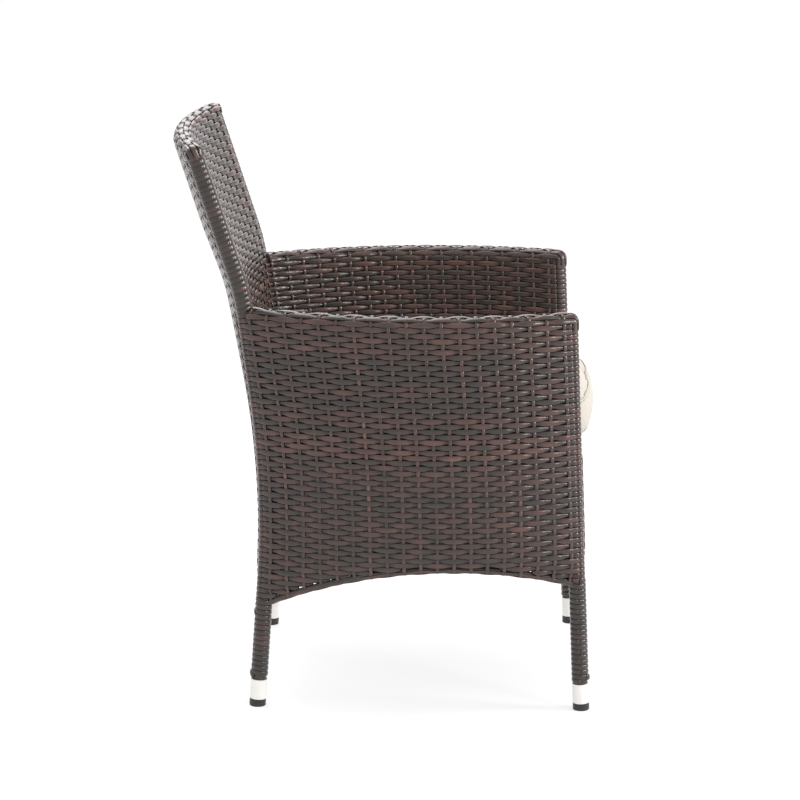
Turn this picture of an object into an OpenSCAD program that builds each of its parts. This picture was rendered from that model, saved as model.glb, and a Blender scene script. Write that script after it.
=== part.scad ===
// Woven garden armchair: bent tube frame, woven resin skin, loose seat cushion.
// Millimetres. X runs across the chair, the seat faces -Y, Z is up, the feet stand on Z = 0.

/* [Overall] */
// Height of the woven back above the ground
overall_h = 870; // [850:5:890]
// Height of the woven arms above the ground
arm_h = 625; // [610:5:640]
// Height of the seat frame tubes' centreline
seat_z = 395; // [385:5:405]

/* [Frame tube] */
// Outer diameter of the frame tube
tube_d = 22; // [21:0.5:23]
// Wall of the frame tube
tube_wall = 1.5; // [1:0.25:2.5]
// Diameter of the thin rod along the lower edge of each woven panel
rod_d = 8; // [6:1:10]

/* [Plan of the legs and arms] */
// Front foot centre, sideways from the middle
foot_x = 227.5; // [222:0.5:232]
// Front foot centre, forward of the middle
foot_front = 301.6; // [299:0.1:304]
// Front leg axis at arm height, sideways from the middle
leg_top_x = 251; // [248:0.5:254]
// Front leg axis at arm height, forward of the middle
leg_top_front = 276.1; // [273:0.1:279]
// Back post axis, sideways from the middle
post_x = 212.9; // [210:0.1:216]
// Rear foot centre, behind the middle
foot_rear = 195.9; // [192:0.1:200]
// Widest point of the arm axis, sideways from the middle
apex_x = 286.5; // [282:0.5:290]
// Widest point of the arm axis, forward of the middle
apex_front = 85.1; // [70:0.1:100]

/* [Back] */
// Lean of the upper back from the vertical, degrees
rake = 18; // [16:0.5:20]
// Lean of the posts between seat and arm, degrees
lean = 8; // [7:0.5:9]
// Backward splay of the rear legs, degrees
splay = 4; // [3:0.5:5]
// Depth of the back's sideways curve at its top
back_sag = 30; // [20:1:36]

/* [Woven skin] */
// Thickness of a woven sheet
weave_t = 2.4; // [2:0.1:2.8]
// Thickness of the strand wound round a leg or post
wrap_t = 1.6; // [1.2:0.1:1.8]
// Height of the side panels' lower edge at its highest point
arch_top = 229; // [220:1:240]
// Radius of the side panels' lower edge
arch_r = 590; // [560:10:640]

/* [Feet] */
// Height of the plastic foot cap
cap_h = 11.5; // [10:0.5:14]
// Height of the metal ferrule above the cap
ferrule_h = 31; // [26:1:36]

/* [Cushion] */
// Thickness of the cushion
cushion_t = 56; // [44:1:60]
// Thickness of its fabric
fabric_t = 1.2; // [0.8:0.1:1.6]
// Forward reach of the cushion's bowed front edge
cushion_front = 325.1; // [318:0.1:330]

/* [Hidden] */
$fn = 48;
tube_r = tube_d / 2;
bore_r = tube_r - tube_wall;
skin_in = tube_r + 0.4;
skin_out = skin_in + weave_t;
wrap_r = tube_r + wrap_t;
rod_r = rod_d / 2;
arm_z = arm_h - skin_out;
apex_y = -apex_front;
arch_y = apex_y - 15;
deck_low = seat_z + skin_in;
deck_top = deck_low + weave_t;
ferrule_top = cap_h + ferrule_h;
tube_foot = 4;
end_gap = 6.5;
elbow_r = tube_r + 1;
fit = 0.1;

// Heights where the back post changes from straight to bent
z_a = 200;
z_b = 500;
z_c = 615;
z_d = 675;
top_z = overall_h - skin_out;

// Lower and upper bend of the back post: radius, centre and end points
r_low = (z_b - z_a) / (sin(lean) + sin(splay));
low_cz = z_a + r_low * sin(splay);
y_a = foot_rear - z_a * tan(splay);
low_cy = y_a + r_low * cos(splay);
y_b = low_cy - r_low * cos(lean);
y_c = y_b + (z_c - z_b) * tan(lean);
r_high = (z_d - z_c) / (sin(rake) - sin(lean));
high_cz = z_c - r_high * sin(lean);
high_cy = y_c + r_high * cos(lean);
y_d = high_cy - r_high * cos(rake);

function lerp(a, b, t) = a + (b - a) * t;
function clamp01(t) = max(0, min(1, t));
function arc_radius(rise, run) = (rise * rise + run * run) / (2 * rise);
function along(p, q, z) = lerp(p, q, (z - p[2]) / (q[2] - p[2]));

// Back post centreline: how far behind the middle it is at a height
function post_y(z) =
    z < z_a ? foot_rear - z * tan(splay)
    : z < z_b ? low_cy - sqrt(r_low * r_low - pow(z - low_cz, 2))
    : z < z_c ? y_b + (z - z_b) * tan(lean)
    : z < z_d ? high_cy - sqrt(r_high * r_high - pow(z - high_cz, 2))
    : y_d + (z - z_d) * tan(rake);

// Front leg centreline at a height
function leg_x(z) = lerp(foot_x, leg_top_x, z / arm_z);
function leg_y(z) = -lerp(foot_front, leg_top_front, z / arm_z);

// Circle through three points: its centre
function centre3(a, b, c) =
    let (n = cross(b - a, c - a))
    let (p = cross(n, b - a) * ((c - a) * (c - a)))
    let (q = cross(c - a, n) * ((b - a) * (b - a)))
    a + (p + q) / (2 * (n * n));

// Side panel middle plane: one arc in plan at every height, from leg through apex to post
function bow_x(z) = apex_x - 0.000096 * pow(arm_z - z, 2);
function side_leg(z) = [leg_x(z), leg_y(z), z];
function side_apex(z) = [bow_x(z), apex_y, z];
function side_post(z) = [post_x, post_y(z), z];
function side_centre(z) = centre3(side_leg(z), side_apex(z), side_post(z));
function side_radius(z) = norm(side_centre(z) - side_apex(z));
function side_x(y, z) =
    let (o = side_centre(z))
    o[0] + sqrt(pow(side_radius(z), 2) - pow(y - o[1], 2));
function arch_z(y) = arch_top - arch_r + sqrt(arch_r * arch_r - pow(y - arch_y, 2));

// Back middle plane: the post line carried across on an arc that deepens upward from the seat
back_r = arc_radius(back_sag, post_x);
function back_bow(x) = sqrt(back_r * back_r - x * x) - back_r + back_sag;
function bow_share(z) = max(0.08, min(1, (z - 270) / 460));
function back_y(x, z) = post_y(z) + back_bow(x) * bow_share(z);

// Lower edges of the rear and front aprons
rear_arch_r = arc_radius(55, post_x);
front_arch_r = arc_radius(55, leg_x(200));
rear_low = 172;
front_low = 206;
function rear_arch_z(x) = rear_low + 55 - rear_arch_r + sqrt(pow(rear_arch_r, 2) - x * x);
function front_arch_z(x) = front_low + 55 - front_arch_r + sqrt(pow(front_arch_r, 2) - x * x);

// Middle plane of each woven sheet, u across and v upward, both 0 to 1
function side_point(u, z, near_post) =
    let (y = lerp(leg_y(z) + end_gap, post_y(z) - near_post, u))
    [side_x(y, z), y, z];
function side_low(u) = arch_z(lerp(leg_y(220), post_y(180), u));
function outer_side(u, v) = side_point(u, lerp(side_low(u), arm_z - 0.5, v), end_gap);
function inner_side(u, v) = side_point(u, lerp(deck_top + 0.5, arm_z - 2, v), 16.5);
function back_point(u, low, high, v) =
    let (x = lerp(1, -1, u) * (post_x - end_gap), z = lerp(low, high, v))
    [x, back_y(x, z), z];
function back_front(u, v) = back_point(u, deck_top + 0.5, top_z - 0.5, v);
function back_rear(u, v) = back_point(u, seat_z + 0.3, top_z - 0.5, v);
function rear_apron(u, v) =
    back_point(u, rear_arch_z(lerp(1, -1, u) * (post_x - end_gap)), seat_z - 0.3, v);
function front_apron(u, v) =
    let (w = leg_x(230) - end_gap)
    let (z = lerp(front_arch_z(lerp(-1, 1, u) * w), seat_z - 1.5, v))
    [lerp(-1, 1, u) * (leg_x(z) - end_gap), leg_y(z), z];
function corner_trim(v) = 9 * clamp01(1.6 - 20 * v) + 9 * clamp01(20 * v - 18.2);
function deck(u, v) =
    let (s = lerp(-1, 1, u))
    let (front = leg_y(seat_z) + 0.3)
    let (w = side_x(lerp(front, post_y(seat_z) - 1, v), seat_z) - 6 - corner_trim(v))
    [s * w, lerp(front, back_y(s * min(w, post_x), seat_z), v), seat_z];

function skin_at(kind, u, v) =
    kind == "outer_side" ? outer_side(u, v)
    : kind == "inner_side" ? inner_side(u, v)
    : kind == "back_front" ? back_front(u, v)
    : kind == "back_rear" ? back_rear(u, v)
    : kind == "rear_apron" ? rear_apron(u, v)
    : kind == "front_apron" ? front_apron(u, v)
    : deck(u, v);
function normal(kind, u, v) =
    let (a = skin_at(kind, u + 0.01, v) - skin_at(kind, u - 0.01, v))
    let (b = skin_at(kind, u, v + 0.01) - skin_at(kind, u, v - 0.01))
    cross(a, b) / norm(cross(a, b));

// Ring profile, or a disc when the inner radius is 0
module ring(outer, inner) {
    difference() {
        circle(outer);
        if (inner > 0) circle(inner);
    }
}

// Straight tube from p to q
module bar(p, q, outer, inner) {
    d = q - p;
    translate(p)
        rotate([0, acos(d[2] / norm(d)), atan2(d[1], d[0])])
            linear_extrude(norm(d))
                ring(outer, inner);
}

// Arc of tube in a plane of constant X
module upright_arc(centre, radius, from, to, outer, inner) {
    translate(centre)
        rotate([90, 0, 90])
            rotate([0, 0, from])
                rotate_extrude(angle = to - from, $fn = 360)
                    translate([radius, 0])
                        ring(outer, inner);
}

// Sweep a profile along the arc through three points, stopping short at the far end
module sweep_through(a, b, c, short = 0) {
    o = centre3(a, b, c);
    radius = norm(a - o);
    ex = (a - o) / radius;
    n = cross(b - a, c - a) / norm(cross(b - a, c - a));
    ey = cross(n, ex);
    turn = atan2((c - o) * ey, (c - o) * ex);
    multmatrix([
        [ex[0], ey[0], n[0], o[0]],
        [ex[1], ey[1], n[1], o[1]],
        [ex[2], ey[2], n[2], o[2]],
        [0, 0, 0, 1]
    ])
        rotate_extrude(angle = turn - short / radius * 180 / PI, $fn = 240)
            translate([radius, 0])
                children();
}

// Thin closed sheet between two offsets of a middle plane
module sheet(kind, nu, nv, low, high) {
    row = nu + 1;
    half = row * (nv + 1);
    points = [
        for (side = [0, 1])
            for (j = [0 : nv])
                for (i = [0 : nu])
                    skin_at(kind, i / nu, j / nv)
                        + normal(kind, i / nu, j / nv) * (side == 1 ? high : low)
    ];
    faces = [
        for (j = [0 : nv - 1])
            for (i = [0 : nu - 1])
                let (p = half + j * row + i)
                each [[p, p + row, p + row + 1], [p, p + row + 1, p + 1]],
        for (j = [0 : nv - 1])
            for (i = [0 : nu - 1])
                let (p = j * row + i)
                each [[p, p + row + 1, p + row], [p, p + 1, p + row + 1]],
        for (i = [0 : nu - 1])
            each [[i, i + half, i + half + 1], [i, i + half + 1, i + 1]],
        for (i = [0 : nu - 1])
            let (p = nv * row + i)
            each [[p, p + half + 1, p + half], [p, p + 1, p + half + 1]],
        for (j = [0 : nv - 1])
            let (p = j * row)
            each [[p, p + row + half, p + half], [p, p + row, p + row + half]],
        for (j = [0 : nv - 1])
            let (p = j * row + nu)
            each [[p, p + half, p + row + half], [p, p + row + half, p + row]]
    ];
    polyhedron(points = points, faces = faces, convexity = 4);
}

// Bent tube of the back post, ring by ring along its centreline
module post_tube(outer, inner, heights) {
    sides = 24;
    rings = len(heights);
    points = [
        for (z = heights)
            let (t = [0, post_y(z + 0.5) - post_y(z - 0.5), 1])
            let (across = [0, t[2], -t[1]] / norm(t))
            for (r = [outer, inner], k = [0 : sides - 1])
                [post_x, post_y(z), z] + r * (cos(k * 15) * [1, 0, 0] + sin(k * 15) * across)
    ];
    faces = [
        for (i = [0 : rings - 2], k = [0 : sides - 1])
            let (a = i * 2 * sides + k, b = i * 2 * sides + (k + 1) % sides)
            let (c = a + 2 * sides, d = b + 2 * sides)
            each [
                [a, c, d], [a, d, b],
                [a + sides, d + sides, c + sides], [a + sides, b + sides, d + sides]
            ],
        for (k = [0 : sides - 1])
            let (n = (k + 1) % sides)
            each [[k, n, n + sides], [k, n + sides, k + sides]],
        for (k = [0 : sides - 1])
            let (e = (rings - 1) * 2 * sides, n = (k + 1) % sides)
            each [[e + k, e + n + sides, e + n], [e + k, e + k + sides, e + n + sides]]
    ];
    polyhedron(points = points, faces = faces, convexity = 6);
}

// Straight length of sleeve round the post
module post_bar(outer, inner, from, to) {
    bar([post_x, post_y(from), from], [post_x, post_y(to), to], outer, inner);
}

// Length of sleeve round the post's lower bend or upper bend
module post_bend(outer, inner, cy, cz, radius, from, to) {
    upright_arc(
        [post_x, cy, cz], radius,
        180 - asin((to - cz) / radius), 180 - asin((from - cz) / radius),
        outer, inner
    );
}

// Straight stand-in for the post near a height, used to cut whatever meets it
module post_cut(z, radius) {
    p = [post_x, post_y(z - 18), z - 18];
    q = [post_x, post_y(z + 18), z + 18];
    bar(p - (q - p), q + (q - p), radius, 0);
}

// Front leg between two heights
module leg(outer, inner, from, to) {
    bar([leg_x(from), leg_y(from), from], [leg_x(to), leg_y(to), to], outer, inner);
}

// Side tube at a height, from the front leg round to the post
module side_rail(z, outer, inner) {
    sweep_through(side_leg(z), side_apex(z), side_post(z)) ring(outer, inner);
}

// Tube curved across the chair between the posts at a height
module cross_rail(z, outer, inner) {
    sweep_through([post_x, post_y(z), z], [0, back_y(0, z), z], [-post_x, post_y(z), z])
        ring(outer, inner);
}

module front_rail(outer, inner) {
    bar(
        [-leg_x(seat_z), leg_y(seat_z), seat_z], [leg_x(seat_z), leg_y(seat_z), seat_z], outer, inner
    );
}

module side_arch(radius) {
    sweep_through(
        [leg_x(210), leg_y(210), arch_z(leg_y(210)) + 6],
        [side_x(arch_y, arch_top), arch_y, arch_top + 6],
        [post_x, post_y(arch_z(post_y(165)) + 6), arch_z(post_y(165)) + 6]
    ) ring(radius, 0);
}

module rear_arch(radius) {
    sweep_through(
        [post_x, post_y(rear_low + 6), rear_low + 6],
        [0, back_y(0, rear_low + 61), rear_low + 61],
        [-post_x, post_y(rear_low + 6), rear_low + 6]
    ) ring(radius, 0);
}

module front_arch(radius) {
    sweep_through(
        [-leg_x(210), leg_y(210), front_low + 6],
        [0, leg_y(260), front_low + 61],
        [leg_x(210), leg_y(210), front_low + 6]
    ) ring(radius, 0);
}

module arm_corner(radius) {
    translate([leg_top_x, -leg_top_front, arm_z]) sphere(radius);
}

module back_corner(radius) {
    translate([post_x, post_y(top_z), top_z]) sphere(radius);
}

// Frame ----------------------------------------------------------------------

module left_front_leg_tube() {
    color([0.62, 0.62, 0.63]) leg(tube_r, bore_r, tube_foot, arm_z - elbow_r - 0.3);
}

module right_front_leg_tube() {
    mirror([1, 0, 0]) left_front_leg_tube();
}

module left_back_post_tube() {
    lower = [for (k = [0 : 12]) lerp(z_a, z_b, k / 12)];
    upper = [for (k = [0 : 6]) lerp(z_c, z_d, k / 6)];
    color([0.62, 0.62, 0.63])
        post_tube(tube_r, bore_r, concat([tube_foot], lower, upper, [top_z - 12.4]));
}

module right_back_post_tube() {
    mirror([1, 0, 0]) left_back_post_tube();
}

module left_arm_tube() {
    color([0.6, 0.6, 0.62])
        difference() {
            side_rail(arm_z, tube_r, bore_r);
            post_cut(arm_z, tube_r + 0.2);
            arm_corner(elbow_r + fit);
        }
}

module right_arm_tube() {
    mirror([1, 0, 0]) left_arm_tube();
}

module back_top_rail() {
    color([0.6, 0.6, 0.62])
        difference() {
            cross_rail(top_z, tube_r, bore_r);
            back_corner(elbow_r + fit);
            mirror([1, 0, 0]) back_corner(elbow_r + fit);
        }
}

// Rounded weld elbows where the arms meet the front legs and the top rail meets the posts
module left_arm_elbow() {
    color([0.56, 0.56, 0.58]) arm_corner(elbow_r);
}

module right_arm_elbow() {
    mirror([1, 0, 0]) left_arm_elbow();
}

module left_back_elbow() {
    color([0.56, 0.56, 0.58]) back_corner(elbow_r);
}

module right_back_elbow() {
    mirror([1, 0, 0]) left_back_elbow();
}

module seat_front_rail() {
    color([0.58, 0.58, 0.6])
        difference() {
            front_rail(tube_r, bore_r);
            leg(tube_r + fit, 0, seat_z - 60, seat_z + 60);
            mirror([1, 0, 0]) leg(tube_r + fit, 0, seat_z - 60, seat_z + 60);
        }
}

module seat_rear_rail() {
    color([0.58, 0.58, 0.6])
        difference() {
            cross_rail(seat_z, tube_r, bore_r);
            post_cut(seat_z, tube_r + 0.2);
            mirror([1, 0, 0]) post_cut(seat_z, tube_r + 0.2);
        }
}

module left_seat_rail() {
    color([0.58, 0.58, 0.6])
        difference() {
            side_rail(seat_z, tube_r, bore_r);
            post_cut(seat_z, tube_r + 0.2);
            leg(tube_r + 0.2, 0, seat_z - 60, seat_z + 60);
            cross_rail(seat_z, tube_r + 0.4, 0);
            front_rail(tube_r + 0.4, 0);
        }
}

module right_seat_rail() {
    mirror([1, 0, 0]) left_seat_rail();
}

module seat_cross_bars() {
    color([0.58, 0.58, 0.6])
        difference() {
            for (y = [apex_y - 65, apex_y + 110])
                bar(
                    [-side_x(y, seat_z), y, seat_z + 2], [side_x(y, seat_z), y, seat_z + 2],
                    tube_r - 2, bore_r - 2
                );
            side_rail(seat_z, tube_r + fit, 0);
            mirror([1, 0, 0]) side_rail(seat_z, tube_r + fit, 0);
        }
}

module left_arch_rod() {
    color([0.5, 0.5, 0.52])
        difference() {
            side_arch(rod_r);
            post_cut(arch_z(post_y(165)), tube_r + fit);
            leg(tube_r + fit, 0, 100, 300);
        }
}

module right_arch_rod() {
    mirror([1, 0, 0]) left_arch_rod();
}

module front_arch_rod() {
    color([0.5, 0.5, 0.52])
        difference() {
            front_arch(rod_r);
            leg(tube_r + fit, 0, 100, 300);
            mirror([1, 0, 0]) leg(tube_r + fit, 0, 100, 300);
        }
}

module rear_arch_rod() {
    color([0.5, 0.5, 0.52])
        difference() {
            rear_arch(rod_r);
            post_cut(rear_low, tube_r + fit);
            mirror([1, 0, 0]) post_cut(rear_low, tube_r + fit);
        }
}

// Woven sheets ---------------------------------------------------------------

module left_side_weave_outer() {
    color([0.27, 0.21, 0.19]) sheet("outer_side", 26, 12, skin_in, skin_out);
}

module right_side_weave_outer() {
    mirror([1, 0, 0]) left_side_weave_outer();
}

module left_side_weave_inner() {
    color([0.27, 0.21, 0.19]) sheet("inner_side", 26, 6, -skin_out, -skin_in);
}

module right_side_weave_inner() {
    mirror([1, 0, 0]) left_side_weave_inner();
}

module back_weave_front() {
    color([0.29, 0.23, 0.2]) sheet("back_front", 20, 20, -skin_out, -skin_in);
}

module back_weave_rear() {
    color([0.27, 0.21, 0.19]) sheet("back_rear", 20, 20, skin_in, skin_out);
}

module rear_apron_weave() {
    color([0.27, 0.21, 0.19]) sheet("rear_apron", 20, 6, skin_in, skin_out);
}

module front_apron_weave() {
    color([0.27, 0.21, 0.19]) sheet("front_apron", 20, 3, skin_in, skin_out);
}

module seat_deck_weave() {
    color([0.25, 0.2, 0.18]) sheet("deck", 20, 22, skin_in, skin_out);
}

// Strand carried over the front seat rail, from its front face to its top
module front_edge_wrap() {
    w = leg_x(seat_z) - 13.2;
    color([0.29, 0.23, 0.2])
        translate([-w, leg_y(seat_z), seat_z])
            rotate([90, 0, 90])
                linear_extrude(2 * w)
                    intersection() {
                        ring(skin_out, tube_r);
                        translate([-20, 0]) square(20);
                    }
}

// Wound and carried-over strands ---------------------------------------------

module half_ring(tilt) {
    rotate(-tilt)
        difference() {
            ring(skin_out, elbow_r + fit);
            translate([-20, -20]) square([40, 20]);
        }
}

// Quarter of a ball-shaped shell, covering the outside of an elbow
module corner_shell() {
    rotate_extrude(angle = 180)
        intersection() {
            ring(skin_out, elbow_r + fit);
            square(20);
        }
}

module left_arm_wrap() {
    color([0.33, 0.27, 0.24])
        sweep_through(side_leg(arm_z), side_apex(arm_z), side_post(arm_z), 15.2)
            half_ring(0);
}

module right_arm_wrap() {
    mirror([1, 0, 0]) left_arm_wrap();
}

module left_arm_corner_wrap() {
    o = side_centre(arm_z);
    color([0.33, 0.27, 0.24])
        translate([leg_top_x, -leg_top_front, arm_z])
            rotate([0, 0, 180 + atan2(-leg_top_front - o[1], leg_top_x - o[0])])
                corner_shell();
}

module right_arm_corner_wrap() {
    mirror([1, 0, 0]) left_arm_corner_wrap();
}

module back_top_wrap() {
    w = post_x - 1.5;
    rear = back_y(w, top_z);
    color([0.33, 0.27, 0.24])
        sweep_through([w, rear, top_z], [0, back_y(0, top_z), top_z], [-w, rear, top_z])
            half_ring(rake);
}

module left_back_corner_wrap() {
    color([0.33, 0.27, 0.24])
        translate([post_x, post_y(top_z), top_z])
            rotate([-rake, 0, 0])
                rotate([0, 0, -90 - asin(post_x / back_r)])
                    corner_shell();
}

module right_back_corner_wrap() {
    mirror([1, 0, 0]) left_back_corner_wrap();
}

// Strand wound round the rear leg below the side panel
module left_rear_leg_wrap() {
    color([0.25, 0.2, 0.18]) post_bar(wrap_r, tube_r + fit, ferrule_top + 0.5, 150);
}

module right_rear_leg_wrap() {
    mirror([1, 0, 0]) left_rear_leg_wrap();
}

// Strands carried round the post between the lower edge of the panels and the top rail
module left_back_post_wrap() {
    inner = tube_r + fit;
    color([0.25, 0.2, 0.18]) {
        post_bend(wrap_r, inner, low_cy, low_cz, r_low, z_a + 0.1, seat_z - 12);
        post_bend(wrap_r, inner, low_cy, low_cz, r_low, seat_z + 15, z_b);
        post_bar(wrap_r, inner, z_b + 0.1, arm_z - 12.5);
        post_bend(wrap_r, inner, high_cy, high_cz, r_high, arm_z + 14.5, z_d);
        post_bar(wrap_r, inner, z_d + 0.1, top_z - 17);
    }
}

module right_back_post_wrap() {
    mirror([1, 0, 0]) left_back_post_wrap();
}

// Strand wound round the front leg below the side panel
module left_front_leg_wrap() {
    color([0.25, 0.2, 0.18]) leg(wrap_r, tube_r + fit, ferrule_top + 0.5, 196);
}

module right_front_leg_wrap() {
    mirror([1, 0, 0]) left_front_leg_wrap();
}

// Strands carried round the front leg from the side panel to the apron and the inner panel
module left_front_corner_wrap() {
    color([0.25, 0.2, 0.18]) {
        leg(wrap_r, tube_r + fit, 226, seat_z - 12);
        leg(wrap_r, tube_r + fit, seat_z + 12.5, arm_z - 12.5);
    }
}

module right_front_corner_wrap() {
    mirror([1, 0, 0]) left_front_corner_wrap();
}

// Last turns of each leg strand, tucked over themselves above the ferrule
module strand_end_collars() {
    color([0.2, 0.16, 0.15])
        for (s = [0, 1])
            mirror([s, 0, 0]) {
                leg(wrap_r + 1.4, wrap_r, ferrule_top + 1, ferrule_top + 13);
                bar(
                    [post_x, post_y(ferrule_top + 1), ferrule_top + 1],
                    [post_x, post_y(ferrule_top + 13), ferrule_top + 13],
                    wrap_r + 1.4, wrap_r
                );
            }
}

// Feet -----------------------------------------------------------------------

module left_front_ferrule() {
    color([0.86, 0.85, 0.83]) leg(wrap_r, tube_r, cap_h + 0.3, ferrule_top);
}

module right_front_ferrule() {
    mirror([1, 0, 0]) left_front_ferrule();
}

module left_rear_ferrule() {
    color([0.86, 0.85, 0.83])
        bar(
            [post_x, post_y(cap_h + 0.3), cap_h + 0.3],
            [post_x, post_y(ferrule_top), ferrule_top],
            wrap_r, tube_r
        );
}

module right_rear_ferrule() {
    mirror([1, 0, 0]) left_rear_ferrule();
}

// Cap with a rounded lower edge and a plug inside the tube, cut flat at the ground
module foot_cap(foot, top) {
    d = top - foot;
    color([0.12, 0.11, 0.11])
        difference() {
            translate(foot)
                rotate([0, acos(d[2] / norm(d)), atan2(d[1], d[0])])
                    rotate_extrude()
                        difference() {
                            union() {
                                translate([0, -1]) square([wrap_r - 2.5, cap_h + 1]);
                                translate([0, 1.5]) square([wrap_r, cap_h - 1.5]);
                                translate([wrap_r - 2.5, 1.5]) circle(2.5);
                                square([bore_r - 0.2, 24]);
                            }
                            translate([bore_r - 0.2, tube_foot - 0.1]) square([tube_wall + 0.2, 20]);
                            translate([-20, -10]) square([20, 60]);
                        }
            translate([foot[0] - 20, foot[1] - 20, -20]) cube([40, 40, 20]);
        }
}

module left_front_foot_cap() {
    foot_cap([foot_x, -foot_front, 0], [leg_x(100), leg_y(100), 100]);
}

module right_front_foot_cap() {
    mirror([1, 0, 0]) left_front_foot_cap();
}

module left_rear_foot_cap() {
    foot_cap([post_x, foot_rear, 0], [post_x, post_y(100), 100]);
}

module right_rear_foot_cap() {
    mirror([1, 0, 0]) left_rear_foot_cap();
}

// Cushion --------------------------------------------------------------------

cushion_low = deck_top + 0.3;
cushion_rear = 171;
corner = 0.3;
// Rounded unit square, walked corner by corner and edge by edge, then bent to the seat's outline
function corner_sign(q) = [q == 0 || q == 3 ? 1 : -1, q < 2 ? 1 : -1];
function corner_at(q, k) =
    corner_sign(q) * (1 - corner) + [cos(q * 90 + k * 7.5), sin(q * 90 + k * 7.5)] * corner;
square_walk = [
    for (q = [0 : 3])
        each concat(
            [for (k = [0 : 12]) corner_at(q, k)],
            [for (t = [1 : 7]) lerp(corner_at(q, 12), corner_at((q + 1) % 4, 0), t / 8)]
        )
];
function half_width(t) = 212 + 30 * (1 - pow(t + 0.05, 2)) - 17 * t - 15 * max(0, t) * t;
function outline(inset) = [
    for (p = square_walk)
        let (front = -cushion_front + 24 * p[0] * p[0] + inset)
        let (rear = cushion_rear - 6 * p[0] * p[0] - inset)
        [p[0] * (half_width(p[1]) - inset), lerp(front, rear, (p[1] + 1) / 2)]
];

module cushion_top_panel() {
    color([0.93, 0.9, 0.84])
        translate([0, 0, cushion_low + cushion_t - fabric_t])
            linear_extrude(fabric_t)
                polygon(outline(0));
}

module cushion_bottom_panel() {
    color([0.93, 0.9, 0.84])
        translate([0, 0, cushion_low])
            linear_extrude(fabric_t)
                polygon(outline(0));
}

module cushion_border() {
    color([0.91, 0.88, 0.82])
        translate([0, 0, cushion_low + fabric_t])
            linear_extrude(cushion_t - 2 * fabric_t)
                difference() {
                    polygon(outline(0));
                    polygon(outline(fabric_t));
                }
}

module cushion_foam() {
    color([0.95, 0.93, 0.8])
        translate([0, 0, cushion_low + fabric_t])
            linear_extrude(cushion_t - 2 * fabric_t)
                polygon(outline(fabric_t + 0.2));
}

left_front_leg_tube();
right_front_leg_tube();
left_back_post_tube();
right_back_post_tube();
left_arm_tube();
right_arm_tube();
back_top_rail();
left_arm_elbow();
right_arm_elbow();
left_back_elbow();
right_back_elbow();
seat_front_rail();
seat_rear_rail();
left_seat_rail();
right_seat_rail();
seat_cross_bars();
left_arch_rod();
right_arch_rod();
front_arch_rod();
rear_arch_rod();
left_side_weave_outer();
right_side_weave_outer();
left_side_weave_inner();
right_side_weave_inner();
back_weave_front();
back_weave_rear();
rear_apron_weave();
front_apron_weave();
front_edge_wrap();
seat_deck_weave();
left_arm_wrap();
right_arm_wrap();
left_arm_corner_wrap();
right_arm_corner_wrap();
back_top_wrap();
left_back_corner_wrap();
right_back_corner_wrap();
left_back_post_wrap();
right_back_post_wrap();
left_rear_leg_wrap();
right_rear_leg_wrap();
left_front_corner_wrap();
right_front_corner_wrap();
left_front_leg_wrap();
right_front_leg_wrap();
strand_end_collars();
left_front_ferrule();
right_front_ferrule();
left_rear_ferrule();
right_rear_ferrule();
left_front_foot_cap();
right_front_foot_cap();
left_rear_foot_cap();
right_rear_foot_cap();
cushion_top_panel();
cushion_bottom_panel();
cushion_border();
cushion_foam();
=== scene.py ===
"""Looks of the woven garden armchair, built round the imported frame. Metres, in the frame's own axes:
X runs across the chair, the seat faces -Y, Z is up. The left side (+X) is made first and mirrored."""

import math

import bpy
import numpy as np
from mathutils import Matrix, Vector
from mathutils.bvhtree import BVHTree


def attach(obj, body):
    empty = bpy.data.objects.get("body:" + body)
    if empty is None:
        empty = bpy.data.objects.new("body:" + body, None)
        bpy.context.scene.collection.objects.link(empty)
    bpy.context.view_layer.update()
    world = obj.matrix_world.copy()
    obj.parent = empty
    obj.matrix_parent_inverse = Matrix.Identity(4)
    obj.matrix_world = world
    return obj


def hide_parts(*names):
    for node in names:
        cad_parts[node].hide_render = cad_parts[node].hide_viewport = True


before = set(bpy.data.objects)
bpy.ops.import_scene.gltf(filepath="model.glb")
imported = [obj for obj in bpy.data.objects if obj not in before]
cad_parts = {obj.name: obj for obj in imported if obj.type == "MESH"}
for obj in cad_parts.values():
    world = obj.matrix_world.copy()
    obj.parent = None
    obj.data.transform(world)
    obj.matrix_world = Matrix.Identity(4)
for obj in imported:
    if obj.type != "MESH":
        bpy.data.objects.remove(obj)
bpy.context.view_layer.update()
rng = np.random.default_rng(11)

# Frame lines -----------------------------------------------------------------------------------
ARM_Z = 0.6112
TOP_Z = 0.8562
SEAT_Z = 0.395
DECK_TOP = 0.4088
FOOT_X, FOOT_FRONT, FOOT_REAR = 0.2275, 0.3016, 0.1959
LEG_TOP_X, LEG_TOP_FRONT = 0.251, 0.2761
POST_X = 0.2129
APEX_X, APEX_Y = 0.2865, -0.0851
ARCH_Y, ARCH_TOP, ARCH_R = -0.1001, 0.229, 0.590
Z_A, Z_B, Z_C, Z_D = 0.2, 0.5, 0.615, 0.675
SPLAY, LEAN, RAKE = math.radians(4), math.radians(8), math.radians(18)
BACK_SAG = 0.030
REAR_LOW, FRONT_LOW, APRON_RISE = 0.172, 0.206, 0.055
ROD_LIFT = 0.006

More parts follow.
